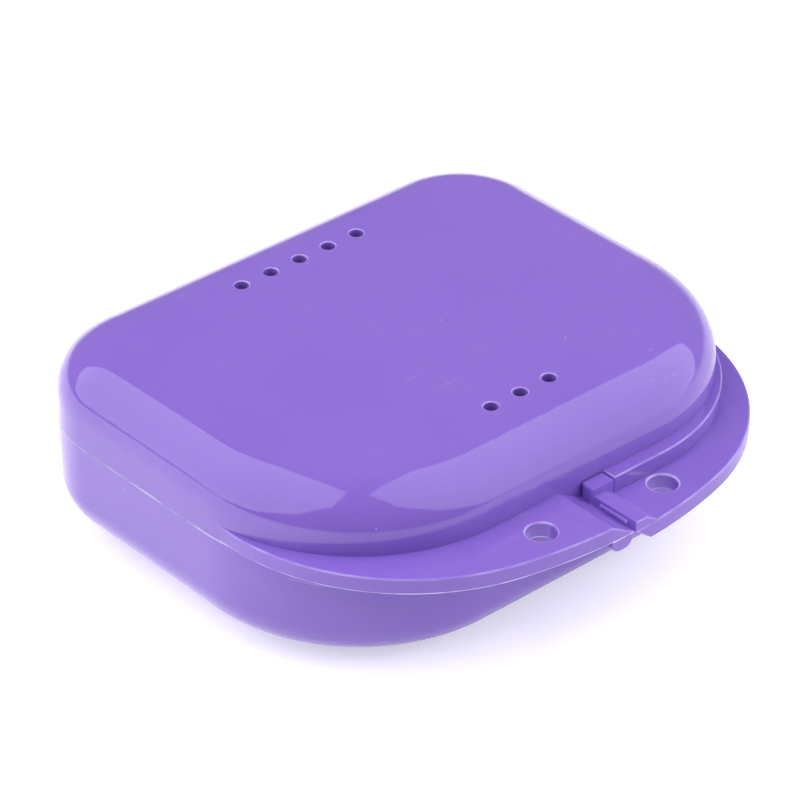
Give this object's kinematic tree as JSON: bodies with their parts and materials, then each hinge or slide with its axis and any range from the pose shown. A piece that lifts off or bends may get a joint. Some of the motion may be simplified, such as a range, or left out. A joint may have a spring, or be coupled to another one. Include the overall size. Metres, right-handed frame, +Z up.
{
  "type": "denture case",
  "caption": "Clamshell case for a denture or retainer: deep rounded tub, domed vented lid, snap hinge at the back, overlapping thumb flanges and a snap latch at the front.",
  "frame": {"origin": "middle of the tub in plan, flanges and hinge left out, on the flat face it stands on", "axes": "+X across the case to the right seen from the front, -Y towards the thumb flanges, +Y towards the hinge, +Z up through the lid"},
  "size_m": [0.08, 0.0796, 0.028],
  "materials": {
    "base_plastic": "satin moulded polypropylene, purple",
    "lid_plastic": "polished moulded polypropylene, purple"
  },
  "bodies": {
    "base": {"base": "base_plastic"},
    "lid": {"lid": "lid_plastic"}
  },
  "joints": [
    {"name": "lid_hinge", "type": "hinge", "parent": "base", "child": "lid", "pos_m": [0, 0.03486, 0.017], "axis": [-1, 0, 0], "range_deg": [0, 180]}
  ]
}
